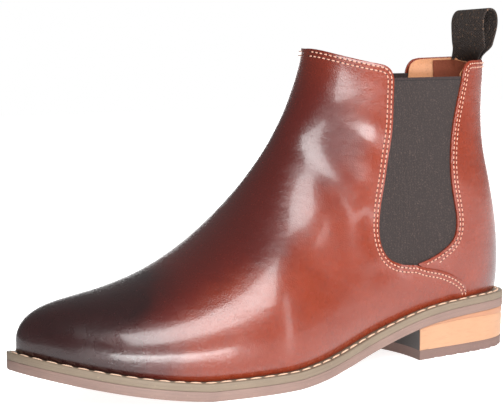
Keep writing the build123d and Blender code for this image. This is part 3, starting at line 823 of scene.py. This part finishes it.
def rise(t):
    """The sock liner climbs onto the heel pad."""
    return 2.0 * step(98, 82, t)


slab("sock_leather_sheet", 10.4, lambda t: 11.7 + rise(t), lambda t: 12.9 + rise(t), SOCK,
     "sock_liner", "sock_leather")
pad = slab("heel_pad_foam", 10.8, lambda t: 11.6 + 0 * t, lambda t: 13.55 - 1.2 * step(60, 80, t),
           HIDDEN["toe_puff"], "heel_pad", "pad_foam", 5, 80)


def heel_ring(z, inset):
    """Heel outline with its hollow breast, at heights z(t)."""
    p = LOOP + inset * INWARD
    lateral = p[:N_SIDE][p[:N_SIDE, 0] < HEEL]
    medial = p[N_SIDE:][p[N_SIDE:, 0] < HEEL]
    ends = [np.array([HEEL, np.interp(HEEL, *s.T)]) for s in (p[:N_SIDE], p[N_SIDE:][::-1])]
    arc = np.linspace(0, 1, 24)[:, None]
    breast = ends[0] + (ends[1] - ends[0]) * arc
    breast[:, 0] = HEEL - HOLLOW * (1 - (2 * arc[:, 0] - 1)**2)
    q = np.concatenate([lateral, breast, medial])
    return np.stack([LENGTH / 2 - q[:, 0], q[:, 1] - MID_Y, z(q[:, 0])], 1)


# share of a lift's height, and how far its edge is rounded in there
LIFT_EDGE = ((0, 0.35), (0.06, 0.1), (0.14, 0), (0.5, 0), (0.86, 0), (0.94, 0.1), (1, 0.35))


def heel_piece(name, low, high, insets, mat, node, slot, bite=None):
    """One lift of the heel between two heights; insets are those of its foot and its top."""
    rings = []
    for share, pull in LIFT_EDGE:
        def at(t):
            return low(t) + (high(t) - low(t)) * share

        r = heel_ring(at, insets[0] + (insets[1] - insets[0]) * share + pull)
        rings.append(bite(r, share) if bite else r)
    verts, faces, uv = stack(rings, False)
    n = len(rings[0])
    faces += [tuple(range(n))[::-1], tuple(range(len(verts) - n, len(verts)))]
    return piece(name, verts, faces, mat, node, slot, uv=uv, sharp=40)


def notches(r, share):
    """Small grip notches round the tread's lower edge."""
    if share > 0.3:
        return r
    t = LENGTH / 2 - r[:, 0]
    cut = (np.abs((t % 9) - 4.5) < 0.9) & (t > 8) & (t < 74) & (np.abs(r[:, 1]) > 18)
    r[:, 1] -= np.where(cut, np.sign(r[:, 1]) * 1.2, 0)
    return r


def block_top(t):
    """The wedge between block and sole is thicker towards the back."""
    return under(t) - (0.5 + 4.0 * (1 - np.clip(t / HEEL, 0, 1)))


def tread_top(t):
    return TOP + 0 * t


heel_piece("tread_rubber", lambda t: 0 * t, tread_top, (1.4, 1.15), TREAD, "top_piece",
           "top_rubber", notches)
heel_piece("heel_stack", tread_top, block_top, (1.15, 0.6), HEEL_MAT, "heel_block", "heel_leather")
heel_piece("heel_wedge_leather", block_top, under, (0.6, 0.35), WEDGE, "heel_wedge",
           "wedge_leather")

# welt thread, lying in the groove: share of the pitch, radius, height
WELT_STITCH = ((-.43, .35, -.2), (-.39, .8, .12), (-.28, 1, .42), (-.1, 1.05, .52),
               (.1, 1.05, .52), (.28, 1, .42), (.39, .8, .12), (.43, .35, -.2))
line = ring(WELT_THREAD_INSET, SEAT - WELT_THREAD_DIP)
line = np.concatenate([line, line[:1]])
run = steps(line)
count = round(run[-1] / WELT_PITCH)
turns = np.arange(8) * pi / 4
verts, faces = [], []
for k in range(count):
    base = len(verts)
    for s, r, h in WELT_STITCH:
        at = (k + 0.5 + s) * run[-1] / count
        o, a, b = (np.array([np.interp((at + d) % run[-1], run, line[:, c]) for c in range(3)])
                   for d in (0, -1, 1))
        x = (b - a) / np.linalg.norm(b - a)
        y = np.cross((0, 0, 1), x)
        y /= np.linalg.norm(y)
        m = np.cross(x, y)
        verts += [o + y * (0.62 * r * np.cos(g)) + m * (h + 0.5 * r * np.sin(g)) for g in turns]
    for i in range(7):
        a, b = base + 8 * i, base + 8 * i + 8
        faces += [(a + j, a + (j + 1) % 8, b + (j + 1) % 8, b + j) for j in range(8)]
    faces += [tuple(base + j for j in range(8))[::-1], tuple(base + 56 + j for j in range(8))]
piece("welt_thread_run", verts, faces, WELT_THREAD, "welt_stitching", "welt_thread")

# ---------------------------------------------------------------- pull tab
# the webbing's path from one sewn-in end over the loop to the other, measured from the fold
TAB = ((4.3, -16), (4.4, -9), (4.1, -4), (2.2, 0.5), (0.3, 5), (-0.5, 10), (-0.8, 16),
       (-0.1, 22.5), (3.7, 26.4), (8.2, 25.2), (9.9, 20.5), (8.6, 13), (5.8, 5.5), (4.8, 0.5),
       (5.4, -4), (5.6, -9), (5.5, -16))
TAB_T, TAB_Z, TAB_BACK = 14.0, 169.2, 0.8   # place of the fold, and the strip's start behind it
TAB_HALF, TAB_SKIN = 14.0, .6               # half width, half thickness
COLLAR_HALF = 28.5                          # half width of the collar that the strip bends round
pivot_x, pivot_z = LENGTH / 2 - TAB_T - TAB_BACK, TAB_Z
path = curve(TAB, 0.9)
side = np.gradient(path, axis=0)
side = np.stack([side[:, 1], -side[:, 0]], 1) / np.hypot(side[:, 0], side[:, 1])[:, None]
flat = [(y, TAB_SKIN) for y in np.linspace(-TAB_HALF + .8, TAB_HALF - .8, 15)]
face = [(-TAB_HALF + .25, .5), *flat, (TAB_HALF - .25, .5)]
section = [(-TAB_HALF, 0), *face, (TAB_HALF, 0), *[(y, -o) for y, o in face[::-1]]]
reach = steps(path)
verts, uv = [], []
for (a, b), (na, nb), s in zip(path, side, reach):
    for y, o in section:
        round_in = 1 - (1 - abs((y + MID_Y) / COLLAR_HALF)**2.1)**(1 / 2.1)
        bend = 62 * round_in * (1 - step(-4, 6, b))
        verts.append((pivot_x + a + na * o - bend, y, pivot_z + b + nb * o))
        uv.append((y * MM, s * MM))
m = len(section)
faces = [(i * m + j, i * m + (j + 1) % m, (i + 1) * m + (j + 1) % m, (i + 1) * m + j)
         for i in range(len(path) - 1) for j in range(m)]
faces += [tuple(range(m))[::-1], tuple(range(len(verts) - m, len(verts)))]
tab = piece("pull_tab_webbing", verts, faces, WEBBING, ("pull_tab", "pull_tab_anchor"), "webbing",
            body=None, uv=uv)
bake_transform(tab)

# ---------------------------------------------------------------- stage, light and camera
floor_mesh = bpy.data.meshes.new("floor")
floor_mesh.from_pydata([(-6, -6, 0), (6, -6, 0), (6, 6, 0), (-6, 6, 0)], [], [(0, 1, 2, 3)])
floor_obj = bpy.data.objects.new("floor", floor_mesh)
bpy.context.scene.collection.objects.link(floor_obj)
ground = Finish("floor_white", 0.16, Emission_Color=(1, 1, 1, 1), Emission_Strength=0.8)
pale = ground.mix(ground.noise(3), (0.86, 0.86, 0.87, 1), (0.84, 0.85, 0.86, 1))
floor_mesh.materials.append(ground.done(pale))

# soft boxes: name, place, aim, size, watts
for name, place, aim, size, watts in (
        ("wide", (0.02, -0.95, 0.78), (0.0, 0, 0.09), (1.1, 0.5), 17),
        ("slim", (0.8, -0.95, 0.2), (0.04, 0, 0.09), (0.12, 0.7), 1.6),
        ("low", (-0.3, -1.0, 0.06), (-0.06, 0, 0.03), (0.9, 0.1), 6),
        ("rim", (0.5, 1.1, 0.2), (0, 0, 0.1), (1.6, 0.4), 8)):
    data = bpy.data.lights.new(name, "AREA")
    data.shape, data.size, data.size_y, data.energy = "RECTANGLE", *size, watts
    obj = bpy.data.objects.new(name, data)
    bpy.context.scene.collection.objects.link(obj)
    obj.location = place
    obj.rotation_euler = (Vector(aim) - Vector(place)).to_track_quat("-Z", "Y").to_euler()

# the world looks white, and lights the boot less than it looks
WORLD_LIGHT = 0.24
world = bpy.data.worlds.new("studio")
bpy.context.scene.world = world
world.use_nodes = True
nodes, links = world.node_tree.nodes, world.node_tree.links
nodes["Background"].inputs[0].default_value = (1, 1, 1, 1)
seen = nodes.new("ShaderNodeLightPath")
power = nodes.new("ShaderNodeMapRange")
power.inputs["To Min"].default_value, power.inputs["To Max"].default_value = WORLD_LIGHT, 1.0
links.new(seen.outputs["Is Camera Ray"], power.inputs["Value"])
links.new(power.outputs["Result"], nodes["Background"].inputs[1])
bpy.context.scene.view_settings.view_transform = "Standard"

AZ, EL, ROLL = radians(-33.015), radians(5.045), radians(-1.106)
FAR, LENS = 0.7656, 102.1026   # metres from the aim, millimetres
AIM = Vector((-0.014, 0.002, 0.08956))
back = Vector((np.sin(AZ) * np.cos(EL), -np.cos(AZ) * np.cos(EL), np.sin(EL)))
right = Vector((np.cos(AZ), np.sin(AZ), 0))
up = back.cross(right)
right, up = (right * np.cos(ROLL) + up * np.sin(ROLL),
             -right * np.sin(ROLL) + up * np.cos(ROLL))
eye = bpy.data.cameras.new("camera")
eye.sensor_fit, eye.sensor_width, eye.lens = "HORIZONTAL", 36, LENS
camera = bpy.data.objects.new("camera", eye)
bpy.context.scene.collection.objects.link(camera)
camera.matrix_world = Matrix((right, up, back)).transposed().to_4x4()
camera.matrix_world.translation = AIM + back * FAR
bpy.context.scene.camera = camera
